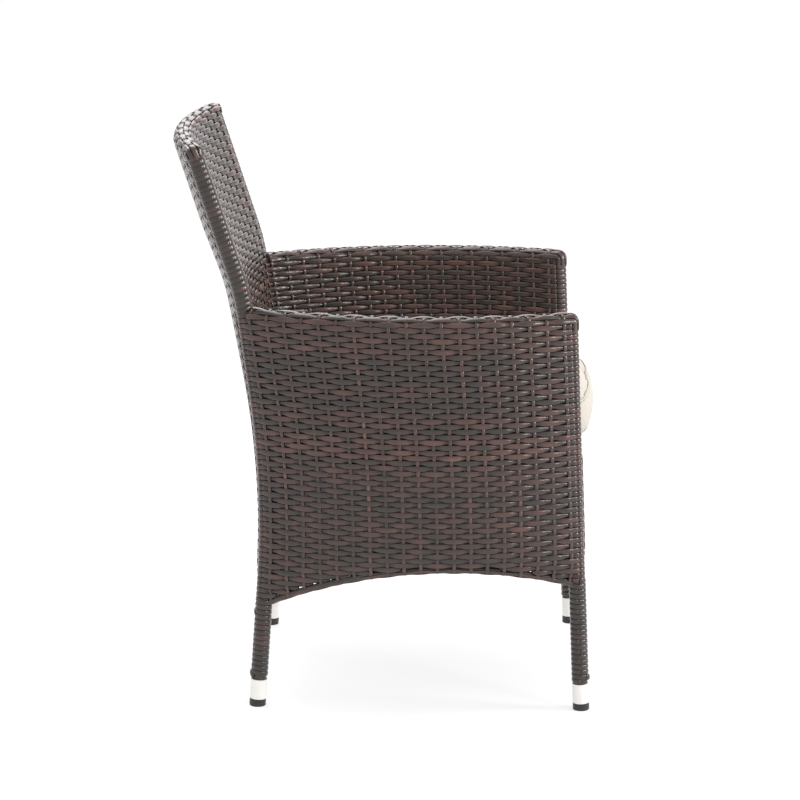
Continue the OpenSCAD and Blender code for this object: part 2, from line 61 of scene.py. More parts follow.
R_LOW = (Z_B - Z_A) / (math.sin(LEAN) + math.sin(SPLAY))
LOW_CZ = Z_A + R_LOW * math.sin(SPLAY)
LOW_CY = FOOT_REAR - Z_A * math.tan(SPLAY) + R_LOW * math.cos(SPLAY)
Y_B = LOW_CY - R_LOW * math.cos(LEAN)
Y_C = Y_B + (Z_C - Z_B) * math.tan(LEAN)
R_HIGH = (Z_D - Z_C) / (math.sin(RAKE) - math.sin(LEAN))
HIGH_CZ = Z_C - R_HIGH * math.sin(LEAN)
HIGH_CY = Y_C + R_HIGH * math.cos(LEAN)
Y_D = HIGH_CY - R_HIGH * math.cos(RAKE)
BACK_R = (BACK_SAG**2 + POST_X**2) / (2 * BACK_SAG)

# Strands ---------------------------------------------------------------------------------------
PITCH = 0.0081  # from one row of weaving to the next
SKIN = 0.0131  # middle of a woven sheet, out from the tubes' plane
WRAP = 0.0121  # middle of a strand wound straight on a tube
WEAVER_W, DIVE_W, WEAVER_T = 0.0084, 0.0047, 0.0021
STAKE_W, STAKE_T = 0.0056, 0.0018
WEAVER_RISE, STAKE_RISE = 0.0013, 0.0010
CAP_ROWS = 5
SIDE_STAKES, BACK_STAKES, FRONT_STAKES = 19, 16, 17
TURN_W = 0.0076  # a strand where it bends round a tube
CAP_W = 0.0074  # a lengthwise strand of an arm or the back's top, where it isn't woven
CAP_LIFT = 0.0004  # how much further out such a strand lies there
TUCKED_R = 0.0098  # where the ends of those strands sink in beside the tube
BOUND_W, BOUND_T, BOUND_WAVE = 0.0062, 0.0018, 0.0007  # strands bound along a lower edge
BOUND_ANGLES = (-0.35, -1.25, -2.15)
ROD_R, TAIL_R = 0.0060, 0.0056  # middle of a stake round the edge rod, and of its tucked end
ROW_ROD_R = 0.0058  # middle of a row or a bound strand at the edge rod
EDGE_CLEAR = 0.0095  # rows end this far above the lower edge
EDGE_START, EDGE_RISE = 0.006, 0.034  # a sheet comes out to its full offset over this height
DECK_T = 0.0013
# painted shade: the colour of a row's dipping stretches is darkened by this much, standing in for the
# shadow of the rows over them
RECESS_SHADE = 0.75  # how dark the dipping stretches of a row get


def smooth(t):
    t = np.clip(t, 0, 1)
    return t * t * (3 - 2 * t)


def lerp(a, b, t):
    return a + (b - a) * t


def leg_x(z):
    return lerp(FOOT_X, LEG_TOP_X, z / ARM_Z)


def leg_y(z):
    return -lerp(FOOT_FRONT, LEG_TOP_FRONT, z / ARM_Z)


def post_y(z):
    z = np.asarray(z, float)
    low = LOW_CY - np.sqrt(np.maximum(R_LOW**2 - (z - LOW_CZ) ** 2, 0))
    high = HIGH_CY - np.sqrt(np.maximum(R_HIGH**2 - (z - HIGH_CZ) ** 2, 0))
    return np.select(
        [z < Z_A, z < Z_B, z < Z_C, z < Z_D],
        [FOOT_REAR - z * math.tan(SPLAY), low, Y_B + (z - Z_B) * math.tan(LEAN), high],
        Y_D + (z - Z_D) * math.tan(RAKE),
    )


def side_x(y, z):
    """One arc in plan at every height, from the leg through the widest point to the post."""
    ax, ay = leg_x(z), leg_y(z)
    bx, by = APEX_X - 0.096 * (ARM_Z - z) ** 2, APEX_Y
    cx, cy = POST_X, post_y(z)
    d = 2 * (ax * (by - cy) + bx * (cy - ay) + cx * (ay - by))
    a2, b2, c2 = ax * ax + ay * ay, bx * bx + by * by, cx * cx + cy * cy
    ox = (a2 * (by - cy) + b2 * (cy - ay) + c2 * (ay - by)) / d
    oy = (a2 * (cx - bx) + b2 * (ax - cx) + c2 * (bx - ax)) / d
    r2 = (bx - ox) ** 2 + (by - oy) ** 2
    return ox + np.sqrt(np.maximum(r2 - (y - oy) ** 2, 0))


def arch_z(y):
    return ARCH_TOP - ARCH_R + np.sqrt(ARCH_R**2 - (y - ARCH_Y) ** 2)


def apron_z(x, low, half):
    r = (APRON_RISE**2 + half**2) / (2 * APRON_RISE)
    return low + APRON_RISE - r + np.sqrt(np.maximum(r * r - x * x, 0))


def back_y(x, z):
    """The post line carried across on an arc that deepens upward from the seat."""
    share = np.clip((z - 0.270) / 0.460, 0.08, 1.0)
    return post_y(z) + (np.sqrt(BACK_R**2 - x * x) - BACK_R + BACK_SAG) * share


# Middle surfaces: s runs along a row from 0 to 1, z is the height
def side_mid(s, z):
    y = lerp(post_y(z), leg_y(z), s)
    return np.stack([side_x(y, z), y, z + 0 * y], -1)


def back_mid(s, z):
    x = lerp(POST_X, -POST_X, s)
    return np.stack([x, back_y(x, z), z + 0 * x], -1)


def front_mid(s, z):
    x = lerp(leg_x(z), -leg_x(z), s)
    return np.stack([x, leg_y(z) + 0 * x, z + 0 * x], -1)


def unit(v):
    return v / np.maximum(np.linalg.norm(v, axis=-1, keepdims=True), 1e-12)


def axes(mid, s, z):
    """Along the row, up the sheet, and out of it (the side that a row running clockwise faces)."""
    e = 1e-3
    s = np.asarray(s, float) + 0 * np.asarray(z, float)
    z = np.asarray(z, float) + 0 * s
    a = unit(mid(s + e, z) - mid(s - e, z))
    b = unit(mid(s, z + e) - mid(s, z - e))
    n = unit(np.cross(b, a))
    return a, b, n


RING = 8
SKIRT_W, SKIRT_DROP = 0.0098, 0.0012


def ring_profile(width, thick, full):
    """Across and outward places of the ring's points for each sample: a crowned middle as wide as
    width, and two thin skirts out to full that lie a little lower."""
    half, wide = width / 2, np.maximum(width, full) / 2
    drop = np.where(wide > half, -SKIRT_DROP, 0.0)
    t = thick / 2
    across = np.stack([wide, half * 0.9, half * 0.5, 0 * t, -half * 0.5, -half * 0.9, -wide, 0 * t], -1)
    out = np.stack([drop, t * 0.35, t * 0.86, t, t * 0.86, t * 0.35, drop, -t], -1)
    return across, out


class Strands:
    """Many flat strands gathered into one mesh. Each point has a tone, a place in the lengthwise
    grain, and painted shade that darkens what dips under its neighbours, standing in for their shadow."""

    def __init__(self, name):
        self.name = name
        self.verts, self.quads, self.ends = [], [], []
        self.tone, self.grain, self.recess = [], [], []
        self.count = 0

    def add(self, p, d, width, thick, tone, closed=False, flip=False, full=0.0, recess=0.0):
        """One strand through the points p, facing the directions d. flip mirrors it to the other
        side of the chair. full is the width out to the skirts, where there are any."""
        n, k = len(p), RING
        if n < 2:
            return
        p, d = np.array(p, float), np.array(d, float)
        if flip:
            p[:, 0] *= -1
            d[:, 0] *= -1
        t = np.roll(p, -1, 0) - np.roll(p, 1, 0) if closed else np.gradient(p, axis=0)
        t = unit(t)
        w = unit(np.cross(d, t))
        up = np.cross(t, w)
        width = np.broadcast_to(width, n).astype(float)
        across, out = ring_profile(
            width, np.broadcast_to(thick, n).astype(float), np.broadcast_to(full, n)
        )
        ring = p[:, None] + w[:, None] * across[..., None] + up[:, None] * out[..., None]
        base = self.count
        i = np.arange(n if closed else n - 1)[:, None]
        j = np.arange(k)[None]
        a = base + i * k + j
        b = base + i * k + (j + 1) % k
        c = base + ((i + 1) % n) * k + (j + 1) % k
        e = base + ((i + 1) % n) * k + j
        self.quads.append(np.stack([a, e, c, b], -1).reshape(-1, 4))
        if not closed:
            self.ends.append([base + q for q in range(k)])
            self.ends.append([base + (n - 1) * k + q for q in range(k - 1, -1, -1)])
        self.verts.append(ring.reshape(-1, 3))
        run = np.concatenate([[0], np.cumsum(np.linalg.norm(np.diff(p, axis=0), axis=1))])
        tone = tone if np.ndim(tone) else np.full(n, tone)
        self.tone.append(np.repeat(tone, k))
        shift = (tone[0] * 971.3) % 7.0
        g = np.zeros((n, k, 3))
        g[..., 0] = run[:, None] + shift
        g[..., 1] = across
        g[..., 2] = shift * 3
        self.grain.append(g.reshape(-1, 3))
        # painted shade: the skirts' edges and underside are coloured dark, standing in for the shadow of
        # the neighbouring rows
        shaded_skirt = np.zeros((n, k))
        shaded_skirt[:, [0, 6, 7]] = (np.broadcast_to(full, n) > width + 0.0006)[:, None]
        self.recess.append(np.maximum(shaded_skirt, np.broadcast_to(recess, n)[:, None]).reshape(-1))
        self.count += n * k

    def build(self, *nodes, body="chair"):
        mesh = bpy.data.meshes.new(self.name)
        quads = np.concatenate(self.quads).astype(np.int32)
        caps = np.array(self.ends, np.int32).reshape(-1, RING)
        mesh.vertices.add(self.count)
        mesh.vertices.foreach_set("co", np.concatenate(self.verts).astype(np.float32).ravel())
        loops = np.concatenate([quads.ravel(), caps.ravel()])
        starts = np.concatenate(
            [np.arange(len(quads)) * 4, len(quads) * 4 + np.arange(len(caps)) * RING]
        )
        mesh.loops.add(len(loops))
        mesh.loops.foreach_set("vertex_index", loops)
        mesh.polygons.add(len(starts))
        mesh.polygons.foreach_set("loop_start", starts.astype(np.int32))
        mesh.update(calc_edges=True)
        mesh.validate()
        mesh.polygons.foreach_set("use_smooth", [True] * len(mesh.polygons))
        tone = mesh.attributes.new("tone", "FLOAT", "POINT")
        tone.data.foreach_set("value", np.concatenate(self.tone).astype(np.float32))
        grain = mesh.attributes.new("grain", "FLOAT_VECTOR", "POINT")
        grain.data.foreach_set("vector", np.concatenate(self.grain).astype(np.float32).ravel())
        # painted shade: how far each point's colour is darkened towards near-black
        recess = mesh.attributes.new("recess", "FLOAT", "POINT")
        recess.data.foreach_set("value", np.concatenate(self.recess).astype(np.float32))
        mesh.materials.append(strand_material)
        obj = bpy.data.objects.new(self.name, mesh)
        bpy.context.collection.objects.link(obj)
        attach(obj, body)
        if nodes:
            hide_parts(*nodes)
        return obj


STAKE_WARM, CAP_WARM = 0.08, 0.05  # stakes and edge strands are this much lighter


def new_tone(warm=0.0):
    """Tone of one strand: mostly grey-brown, some reddish, a few light."""
    return float(np.clip(rng.normal(0.43 + warm, 0.10), 0.02, 0.98))


# Materials -------------------------------------------------------------------------------------
def principled(name, **values):
    m = bpy.data.materials.new(name)
    m.use_nodes = True
    bsdf = m.node_tree.nodes["Principled BSDF"]
    for key, value in values.items():
        bsdf.inputs[key.replace("_", " ")].default_value = value
    return m, m.node_tree, bsdf


def node(tree, kind, **values):
    n = tree.nodes.new(kind)
    for key, value in values.items():
        if key in n.inputs:
            n.inputs[key].default_value = value
        else:
            setattr(n, key, value)
    return n


def ramp(tree, source, stops):
    r = node(tree, "ShaderNodeValToRGB")
    while len(r.color_ramp.elements) < len(stops):
        r.color_ramp.elements.new(0.5)
    for e, (place, colour) in zip(r.color_ramp.elements, stops):
        e.position = place
        e.color = (*colour, 1) if len(colour) == 3 else colour
    tree.links.new(source, r.inputs["Fac"])
    return r


def mapped(tree, source, scale):
    m = node(tree, "ShaderNodeMapping")
    m.inputs["Scale"].default_value = scale
    tree.links.new(source, m.inputs["Vector"])
    return m.outputs["Vector"]


def bump(tree, bsdf, source, strength, distance, before=None):
    b = node(tree, "ShaderNodeBump", Strength=strength, Distance=distance)
    tree.links.new(source, b.inputs["Height"])
    if before is not None:
        tree.links.new(before.outputs["Normal"], b.inputs["Normal"])
    tree.links.new(b.outputs["Normal"], bsdf.inputs["Normal"])
    return b


def binding_tone():
    """Tone of one turn wound round a tube: dark and even."""
    return float(np.clip(rng.normal(0.30, 0.08), 0.02, 0.6))


def make_strand_material():
    """Extruded resin strand: a tone per strand, faint lengthwise streaks, a satin gloss, and painted
    shade that darkens what dips under the neighbouring strands.
    """
    m, t, bsdf = principled("resin_strand", Roughness=0.36)
    bsdf.inputs["Specular IOR Level"].default_value = 0.42
    bsdf.inputs["Coat Weight"].default_value = 0.32
    bsdf.inputs["Coat Roughness"].default_value = 0.22
    tone = node(t, "ShaderNodeAttribute", attribute_name="tone")
    grain = node(t, "ShaderNodeAttribute", attribute_name="grain")
    streak = node(t, "ShaderNodeTexNoise", Scale=1.0, Detail=3.0, Roughness=0.6)
    t.links.new(mapped(t, grain.outputs["Vector"], (14, 900, 1)), streak.inputs["Vector"])
    patch = node(t, "ShaderNodeTexNoise", Scale=1.0, Detail=2.0)
    t.links.new(mapped(t, grain.outputs["Vector"], (30, 60, 1)), patch.inputs["Vector"])
    mix = node(t, "ShaderNodeMath", operation="MULTIPLY_ADD")
    mix.inputs[1].default_value = 0.95
    t.links.new(patch.outputs["Fac"], mix.inputs[0])
    t.links.new(tone.outputs["Fac"], mix.inputs[2])
    mix2 = node(t, "ShaderNodeMath", operation="MULTIPLY_ADD")
    mix2.inputs[1].default_value = 0.36
    t.links.new(streak.outputs["Fac"], mix2.inputs[0])
    t.links.new(mix.outputs[0], mix2.inputs[2])
    shift = node(t, "ShaderNodeMath", operation="SUBTRACT")
    shift.inputs[1].default_value = 0.655
    t.links.new(mix2.outputs[0], shift.inputs[0])
    colour = ramp(
        t,
        shift.outputs[0],
        [
            (0.0, (0.014, 0.011, 0.009)),
            (0.32, (0.027, 0.019, 0.015)),
            (0.52, (0.052, 0.025, 0.020)),
            (0.78, (0.096, 0.043, 0.033)),
            (1.0, (0.185, 0.098, 0.064)),
        ],
    )
    # painted shade: the colour is mixed towards near-black by the painted-shade attribute, standing in
    # for the shadow in the recesses
    recess = node(t, "ShaderNodeAttribute", attribute_name="recess")
    shade_mix = node(t, "ShaderNodeMix", data_type="RGBA")
    t.links.new(recess.outputs["Fac"], shade_mix.inputs["Factor"])
    t.links.new(colour.outputs["Color"], shade_mix.inputs["A"])
    shade_mix.inputs["B"].default_value = (0.004, 0.003, 0.003, 1)
    t.links.new(shade_mix.outputs["Result"], bsdf.inputs["Base Color"])
    rough = ramp(t, streak.outputs["Fac"], [(0.25, (0.17,) * 3), (0.8, (0.33,) * 3)])
    t.links.new(rough.outputs["Color"], bsdf.inputs["Roughness"])
    first = bump(t, bsdf, streak.outputs["Fac"], 0.5, 0.00025)
    bump(t, bsdf, patch.outputs["Fac"], 0.25, 0.0004, first)
    return m


def make_metal_material(name, base, rough, metallic, grain_scale, spread):
    """Satin finished tube: fine lengthwise brushing, faint smudges and small scuffs."""
    m, t, bsdf = principled(name, Metallic=metallic, Roughness=rough)
    place = node(t, "ShaderNodeTexCoord")
    smudge = node(t, "ShaderNodeTexNoise", Scale=46.0, Detail=4.0, Roughness=0.6)
    t.links.new(place.outputs["Object"], smudge.inputs["Vector"])
    fine = node(t, "ShaderNodeTexNoise", Scale=1.0, Detail=3.0, Roughness=0.65)
    t.links.new(mapped(t, place.outputs["Object"], grain_scale), fine.inputs["Vector"])
    dark = tuple(c * (1 - spread) for c in base)
    light = tuple(min(1.0, c * (1 + spread * 0.5)) for c in base)
    colour = ramp(t, smudge.outputs["Fac"], [(0.3, dark), (0.5, base), (0.75, light)])
    t.links.new(colour.outputs["Color"], bsdf.inputs["Base Color"])
    r = ramp(t, fine.outputs["Fac"], [(0.3, (rough * 0.8,) * 3), (0.75, (rough * 1.3,) * 3)])
    t.links.new(r.outputs["Color"], bsdf.inputs["Roughness"])
    first = bump(t, bsdf, fine.outputs["Fac"], 0.25, 0.0001)
    bump(t, bsdf, smudge.outputs["Fac"], 0.15, 0.0004, first)
    return m


def make_rubber_material():
    """Moulded foot cap: near-black plastic with a fine spark-eroded grain and dusty wear."""
    m, t, bsdf = principled("moulded_cap", Roughness=0.5)
    place = node(t, "ShaderNodeTexCoord")
    fine = node(t, "ShaderNodeTexNoise", Scale=1400.0, Detail=3.0)
    wear = node(t, "ShaderNodeTexNoise", Scale=90.0, Detail=5.0, Roughness=0.7)
    t.links.new(place.outputs["Object"], fine.inputs["Vector"])
    t.links.new(place.outputs["Object"], wear.inputs["Vector"])
    colour = ramp(
        t,
        wear.outputs["Fac"],
        [(0.35, (0.010, 0.010, 0.011)), (0.6, (0.018, 0.017, 0.017)), (0.8, (0.045, 0.042, 0.040))],
    )
    t.links.new(colour.outputs["Color"], bsdf.inputs["Base Color"])
    r = ramp(t, wear.outputs["Fac"], [(0.3, (0.38,) * 3), (0.8, (0.62,) * 3)])
    t.links.new(r.outputs["Color"], bsdf.inputs["Roughness"])
    bump(t, bsdf, fine.outputs["Fac"], 0.35, 0.0002)
    return m


def make_fabric_material(name, base, thread=0.0011):
    """Plain woven outdoor canvas: crossed threads, slubs, a soft sheen."""
    m, t, bsdf = principled(name, Roughness=0.88)
    bsdf.inputs["Specular IOR Level"].default_value = 0.25
    bsdf.inputs["Sheen Weight"].default_value = 0.10
    bsdf.inputs["Sheen Roughness"].default_value = 0.5
    place = node(t, "ShaderNodeTexCoord")
    waves = []
    for direction in ("X", "Y", "Z"):
        w = node(t, "ShaderNodeTexWave", wave_type="BANDS", bands_direction=direction)
        w.inputs["Scale"].default_value = 0.314 / thread
        w.inputs["Distortion"].default_value = 1.2
        w.inputs["Detail"].default_value = 1.0
        w.inputs["Detail Scale"].default_value = 0.6
        t.links.new(place.outputs["Object"], w.inputs["Vector"])
        waves.append(w)
    low = node(t, "ShaderNodeMath", operation="MULTIPLY")
    t.links.new(waves[0].outputs["Fac"], low.inputs[0])
    t.links.new(waves[1].outputs["Fac"], low.inputs[1])
    both = node(t, "ShaderNodeMath", operation="ADD")
    t.links.new(low.outputs[0], both.inputs[0])
    t.links.new(waves[2].outputs["Fac"], both.inputs[1])
    slub = node(t, "ShaderNodeTexNoise", Scale=240.0, Detail=4.0, Roughness=0.65)
    t.links.new(place.outputs["Object"], slub.inputs["Vector"])
    broad = node(t, "ShaderNodeTexNoise", Scale=9.0, Detail=3.0)
    t.links.new(place.outputs["Object"], broad.inputs["Vector"])
    mix = node(t, "ShaderNodeMath", operation="MULTIPLY_ADD")
    mix.inputs[1].default_value = 0.5
    t.links.new(slub.outputs["Fac"], mix.inputs[0])
    t.links.new(broad.outputs["Fac"], mix.inputs[2])
    colour = ramp(
        t,
        mix.outputs[0],
        [
            (0.45, tuple(c * 0.93 for c in base)),
            (0.75, base),
            (1.0, tuple(min(1.0, c * 1.05) for c in base)),
        ],
    )
    t.links.new(colour.outputs["Color"], bsdf.inputs["Base Color"])
    first = bump(t, bsdf, both.outputs[0], 0.35, 0.0003)
    bump(t, bsdf, slub.outputs["Fac"], 0.3, 0.0004, first)
    return m


strand_material = make_strand_material()
tube_material = make_metal_material(
    "coated_tube", (0.045, 0.036, 0.031), 0.42, 0.25, (300, 300, 20), 0.25
)
ferrule_material = make_metal_material(
    "satin_ferrule", (0.80, 0.78, 0.745), 0.34, 0.45, (60, 60, 900), 0.05
)
cap_material = make_rubber_material()
fabric_material = make_fabric_material("cream_canvas", (0.445, 0.411, 0.366))
piping_material = make_fabric_material("cream_piping", (0.425, 0.388, 0.340), 0.0008)

for name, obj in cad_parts.items():
    if "ferrule" in name:
        material = ferrule_material
    elif "foot_cap" in name:
        material = cap_material
    else:
        material = tube_material
    for place in obj.material_slots:
        place.material = material


# Woven sheets ----------------------------------------------------------------------------------
SAMPLES = 6  # rings of a weaver from one stake to the next


def swell(c):
    """Over and under wave of a weaver, with broad tops."""
    return np.tanh(1.5 * c) / math.tanh(1.5)


def row_shape(s, stakes, index, base):
    """Offset and width of a weaver along a row."""
    c = np.cos(np.pi * (s * stakes - 0.5 + index))
    off = base + WEAVER_RISE * swell(c)
    width = DIVE_W + (WEAVER_W - DIVE_W) * ((1 + c) / 2) ** 0.55
    return off, width


def out_from_rod(z, low, start=ROD_R, skin=SKIN):
    """Offset of a sheet that rises from the rod in its lower edge to its full distance."""
    return lerp(start, skin, smooth((z - low - EDGE_START) / EDGE_RISE))


def row_along(piece, mid, sign, z, index, stakes, tone, low=None, modes=("wrap", "wrap"), flip=False):
    """One row of a sheet. sign is +1 for the side that axes() faces. A row that meets the lower
    edge is cut there and tucked in. modes says whether each end runs on round a tube or tucks."""
    n = stakes * SAMPLES + 1
    s = np.linspace(0, 1, n)
    keep = np.ones(n, bool) if low is None else z > low(s) + EDGE_CLEAR
    cuts = np.flatnonzero(np.diff(np.concatenate([[0], keep.astype(int), [0]])))
    for a, b in zip(cuts[::2], cuts[1::2]):
        if b - a < 4:
            continue
        q = s[a:b]
        p = mid(q, z)
        _, _, normal = axes(mid, q, z)
        normal = normal * sign
        base = np.full(len(q), SKIN)
        if low is not None:
            base = out_from_rod(z, low(q), ROW_ROD_R)
        off, width = row_shape(q, stakes, index, base)
        run = np.concatenate([[0], np.cumsum(np.linalg.norm(np.diff(p, axis=0), axis=1))])
        for end, far in ((0, run), (1, run[-1] - run)):
            at_tube = (a == 0) if end == 0 else (b == n)
            if at_tube and modes[end] == "wrap":
                k = smooth(far / 0.016)
                off = lerp(WRAP, off, k)
                width = lerp(TURN_W, width, k)
            elif at_tube:
                k = smooth((far - 0.009) / 0.013)
                off = lerp(0.0035, off, k)
                width = lerp(0.0055, width, k)
            else:
                k = smooth(far / 0.010)
                off = lerp(off - 0.0038, off, k)
                width = lerp(0.0050, width, k)
        inside = np.ones(len(q), bool)
        if a == 0 and modes[0] == "tuck":
            inside &= run > 0.008
        if b == n and modes[1] == "tuck":
            inside &= run[-1] - run > 0.008
        p = p + normal * off[:, None]
        # where c is below zero the row dips under a stake; that stretch is coloured darker as painted
        # shade
        c = np.cos(np.pi * (q * stakes - 0.5 + index))
        piece.add(
            p[inside],
            normal[inside],
            width[inside],
            WEAVER_T,
            tone,
            flip=flip,
            full=SKIRT_W,
            recess=RECESS_SHADE * smooth(-c[inside]),
        )


def round_tube(piece, mid, s, z, start, turn, tone, radius=(WRAP, WRAP), width=TURN_W, flip=False):
    """Strand bent round the tube at one edge of a sheet. start and turn are angles: 0 is out of
    the sheet's face, a quarter turn is along the row (beyond s = 1), half a turn is its other face."""
    a, b, n = (v[0] for v in axes(mid, np.array([s]), z))
    a = unit(a - b * np.dot(a, b))
    n = np.cross(a, b) * (1 if np.dot(np.cross(a, b), n) > 0 else -1)
    count = max(4, int(abs(turn) / 0.30))
    angle = np.linspace(start, start + turn, count)
    d = np.outer(np.cos(angle), n) + np.outer(np.sin(angle), a)
    p = mid(np.array([s]), z)[0] + d * np.linspace(radius[0], radius[1], count)[:, None]
    piece.add(p, d, width, WEAVER_T, tone, flip=flip)


def row_heights(top, bottom, line=None):
    """Heights of the rows' middles from the top down, spaced along the sheet."""
    heights, z = [], top
    slope = 0.0
    while z > bottom:
        if line is not None:
            slope = float(line(z + 1e-4) - line(z - 1e-4)) / 2e-4
        step = PITCH / math.sqrt(1 + slope * slope)
        heights.append(z - step / 2)
        z -= step
    return heights


def cap_path(mid, s, level, theta, radius, face):
    """Points and outward directions on the rounded top of a sheet, with the sheet's own axes along
    and up. theta 0 is the outer face, pi the inner one; face is the sign of the outer face."""
    a, b, n = axes(mid, s, level)
    b = unit(b - a * np.sum(a * b, -1, keepdims=True))
    d = n * (face * np.cos(theta))[..., None] + b * np.sin(theta)[..., None]
    return mid(s, level) + d * radius[..., None], d, a, b


SIDE_Z = row_heights(ARM_Z, 0.150)
UPPER_Z = row_heights(TOP_Z, ARM_Z + PITCH * 0.4, post_y)
UPPER = len(UPPER_Z)
BACK_Z = UPPER_Z + [z for z in SIDE_Z if z > DECK_TOP - 0.002]
# the back's rows above the arms are spread to end exactly where the side rows begin
UPPER_Z = list(np.linspace(UPPER_Z[0], ARM_Z + PITCH / 2, UPPER))
BACK_Z[:UPPER] = UPPER_Z


def side_low(s):
    return arch_z(lerp(post_y(0.19), leg_y(0.21), s))


def rear_low(s):
    return apron_z(lerp(POST_X, -POST_X, s), REAR_LOW, POST_X)


def front_low(s):
    half = leg_x(0.2)
    return apron_z(lerp(half, -half, s), FRONT_LOW, half)


def stake(segments, k, tone, flip=False):
    """One stake laid over several surfaces in turn. segments holds (piece, p, d, rho, base): points on
    the middle surface, outward directions, row coordinate and offset. Each piece gets its own stretch."""
    p = np.concatenate([seg[1] for seg in segments])
    d = np.concatenate([seg[2] for seg in segments])
    rho = np.concatenate([seg[3] for seg in segments])
    base = np.concatenate([seg[4] for seg in segments])
    owner = np.concatenate([[i] * len(seg[1]) for i, seg in enumerate(segments)])
    c = np.cos(np.pi * (k + rho))
    off = base - STAKE_RISE * swell(c)
    width = STAKE_W * (1 + 0.06 * c)
    p = p + d * off[:, None]
    for i, seg in enumerate(segments):
        at = np.flatnonzero(owner == i)
        lo, hi = max(at[0] - 1, 0), min(at[-1] + 2, len(p))
        seg[0].add(p[lo:hi], d[lo:hi], width[lo:hi], STAKE_T, tone, flip=flip)


def stake_foot(piece, mid, s, low, face=1):
    """First stretches of a stake: its end tucked up behind the sheet, then once round the edge rod."""
    _, b, n = (v[0] for v in axes(mid, np.array([s]), low + ROD_LIFT))
    n = n * face
    turn = np.linspace(-math.pi, 0, 9)[:-1]
    d = np.outer(np.cos(turn), n) + np.outer(np.sin(turn), b)
    centre = mid(np.array([s]), low + ROD_LIFT)[0]
    tail = mid(np.full(4, s), np.linspace(low + 0.026, low + ROD_LIFT + 0.001, 5)[:-1])
    return [
        (piece, tail, np.tile(-n, (4, 1)), np.full(4, 0.5), np.full(4, TAIL_R)),
        (piece, np.tile(centre, (8, 1)), d, np.full(8, 0.5), np.full(8, ROD_R)),
    ]


def on_sheet(piece, mid, s, z, face, rho, base=SKIN):
    """Stretch of a stake along one face of a sheet, through the heights z."""
    s = np.full(len(z), s)
    return piece, mid(s, z), axes(mid, s, z)[2] * face, rho, np.broadcast_to(base, len(z))


def over_cap(piece, mid, s, level, face):
    """Stretch of a stake over the rounded top of a sheet."""
    n = 20
    theta = np.linspace(0, math.pi, n + 2)[1:-1]
    p, d, _, _ = cap_path(mid, np.full(n, s), np.full(n, level), theta, np.zeros(n), face)
    return piece, p, d, theta / math.pi * CAP_ROWS - 0.5, np.full(n, SKIN)


def rising(low, end, top):
    """Heights of a stake's points from the edge rod up to end, as close as for a sheet up to top."""
    return np.linspace(low + ROD_LIFT, end, max(8, int((top - low) / PITCH * 3.5)))


def bind_edge(piece, mid, line, stakes, face=1, flip=False):
    """Strands bound lengthwise round the rod in a sheet's lower edge."""
    for i, angle in enumerate(BOUND_ANGLES):
        q = np.linspace(0.0, 1.0, stakes * 4 + 1)
        z = line(q) + ROD_LIFT
        _, b, n = axes(mid, q, z)
        d = n * face * math.cos(angle) + b * math.sin(angle)
        c = np.cos(np.pi * (q * stakes - 0.5 + i))
        p = mid(q, z) + d * (ROW_ROD_R + BOUND_WAVE * c)[:, None]
        piece.add(p, d, BOUND_W, BOUND_T, new_tone(), flip=flip)


def rho_of(z, heights, first, step):
    """Row coordinate at a height: equals the row's index where the row's middle is."""
    idx = np.arange(len(heights)) * step + first
    hs = np.array(heights)
    order = np.argsort(hs)
    inner = np.interp(z, hs[order], idx[order].astype(float))
    top, bottom = hs.max(), hs.min()
    inner = np.where(z > top, idx[hs.argmax()] - step * (z - top) / PITCH, inner)
    return np.where(z < bottom, idx[hs.argmin()] + step * (bottom - z) / PITCH, inner)


